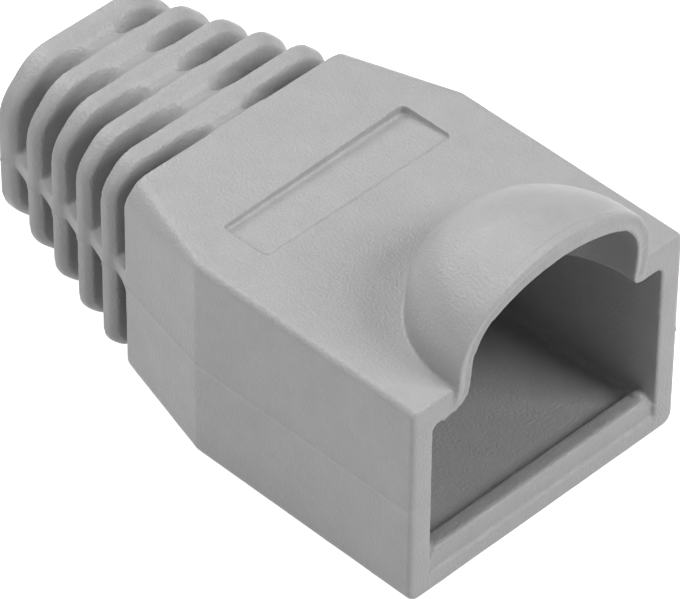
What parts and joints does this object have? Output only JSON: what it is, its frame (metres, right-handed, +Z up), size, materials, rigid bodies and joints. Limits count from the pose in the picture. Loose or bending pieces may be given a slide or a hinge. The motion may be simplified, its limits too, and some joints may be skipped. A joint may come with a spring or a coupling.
{
  "type": "rj45 strain relief boot",
  "caption": "Slip-on cable boot for a modular plug: open square pocket with a domed latch hood, and a ribbed, slotted tail that flexes round the cable.",
  "frame": {"origin": "on the flat underside, under the middle of the overall length and width", "axes": "+X out of the plug mouth, -X along the cable out of the tail, Y across the boot, +Z up towards the latch hood"},
  "size_m": [0.0252, 0.014, 0.0138],
  "materials": {
    "soft_pvc": "matte"
  },
  "bodies": {
    "root": {"boot": "soft_pvc"}
  },
  "joints": []
}
